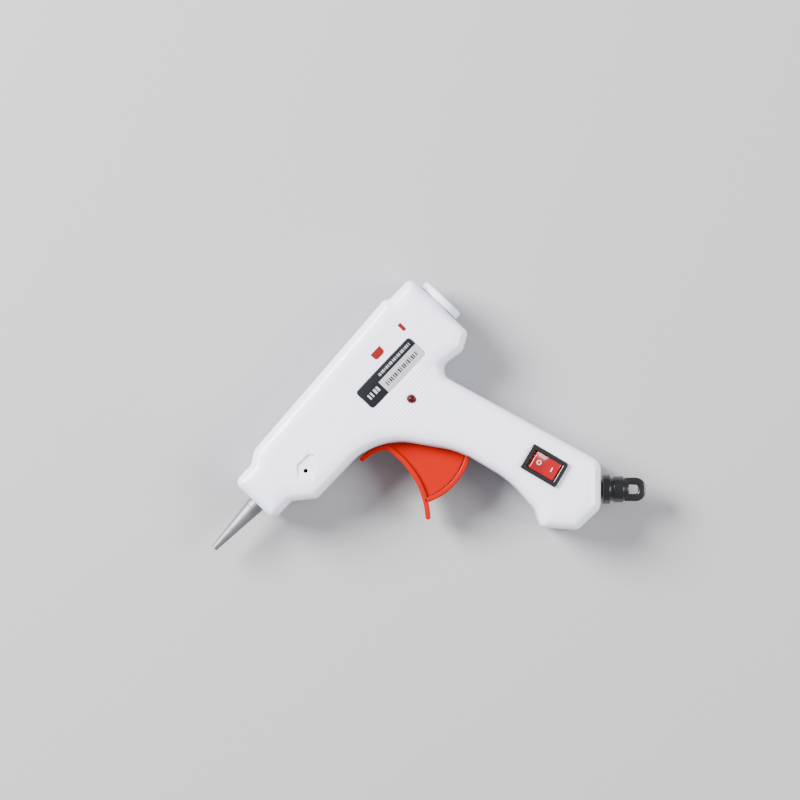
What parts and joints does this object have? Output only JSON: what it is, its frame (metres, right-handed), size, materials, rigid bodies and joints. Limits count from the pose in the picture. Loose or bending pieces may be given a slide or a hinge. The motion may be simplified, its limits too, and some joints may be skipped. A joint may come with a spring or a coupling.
{
  "type": "hot glue gun",
  "caption": "Handheld mini hot-melt glue gun with tapered nozzle, swinging finger trigger, side rocker switch, pilot lamp and cable gland; its cord is not included.",
  "frame": {"origin": "on the flat side of the right shell, which the gun lies on, directly under the barrel's axis and level with the trigger's pivot along it", "axes": "+X along the barrel from the nozzle to the stick inlet, +Y to the top of the gun, +Z from the right side to the left side, which carries the switch"},
  "size_m": [0.1276, 0.1201, 0.0292],
  "materials": {
    "shell_white": "smooth white moulding",
    "trigger_orange": "smooth orange moulding",
    "nozzle_metal": "turned, dull grey",
    "cast_aluminium": "as cast",
    "ceramic_grey": "fired, matt",
    "contact_metal": "plain sheet",
    "spring_steel": "drawn",
    "silicone_red": "soft, matt",
    "carriage_nylon": "natural nylon",
    "collar_white": "smooth white moulding",
    "switch_black": "glossy black moulding",
    "rocker_red": "glossy clear red moulding",
    "led_red": "tinted lens",
    "gland_black": "satin black moulding",
    "lead_brown": "soft insulation",
    "lead_blue": "soft insulation",
    "resistor_tan": "lacquered",
    "label_print": "printed film"
  },
  "bodies": {
    "housing": {"left_shell": "shell_white", "right_shell": "shell_white", "nozzle": "nozzle_metal", "melt_chamber": "cast_aluminium", "ptc_element": "ceramic_grey", "contact_plate_inner": "contact_metal", "contact_plate_outer": "contact_metal", "heater_clip": "spring_steel", "inlet_sleeve": "silicone_red", "trigger_pivot_pin": "spring_steel", "return_spring": "spring_steel", "inlet_collar": "collar_white", "switch_frame": "switch_black", "switch_terminal_1": "contact_metal", "switch_terminal_2": "contact_metal", "indicator_led": "led_red", "led_resistor": "resistor_tan", "lead_live": "lead_brown", "lead_neutral": "lead_blue", "lead_switched": "lead_brown", "cable_gland": "gland_black", "rating_label": "label_print", "housing_screw_1": "spring_steel", "housing_screw_2": "spring_steel", "housing_screw_3": "spring_steel", "housing_screw_4": "spring_steel", "housing_screw_5": "spring_steel", "housing_screw_6": "spring_steel"},
    "trigger": {"trigger": "trigger_orange"},
    "carriage": {"feed_carriage": "carriage_nylon", "jaw_pin": "spring_steel"},
    "jaw": {"clamp_jaw": "spring_steel"},
    "rocker": {"switch_rocker": "rocker_red"}
  },
  "joints": [
    {"name": "trigger_pull", "type": "hinge", "parent": "housing", "child": "trigger", "pos_m": [0, -0.012, 0.013], "axis": [0, 0, 1], "range_deg": [0, 22], "stiffness_Nm_per_rad": 0.15, "springref_deg": -11.46},
    {"name": "carriage_feed", "type": "slide", "parent": "housing", "child": "carriage", "axis": [-1, 0, 0], "range_m": [0, 0.0048], "deforming": ["return_spring"]},
    {"name": "jaw_bite", "type": "hinge", "parent": "carriage", "child": "jaw", "pos_m": [0.015, -0.0092, 0.013], "axis": [0, 0, -1], "range_deg": [0, 15.5]},
    {"name": "switch_rock", "type": "hinge", "parent": "housing", "child": "rocker", "pos_m": [0.0343, -0.06707, 0.026], "axis": [-0.9744, -0.225, 0], "range_deg": [0, 18]}
  ],
  "couplings": [
    {"joint": "carriage_feed", "follows": "trigger_pull", "m_per_rad": 0.01215},
    {"joint": "jaw_bite", "follows": "trigger_pull", "ratio": 0.68}
  ]
}
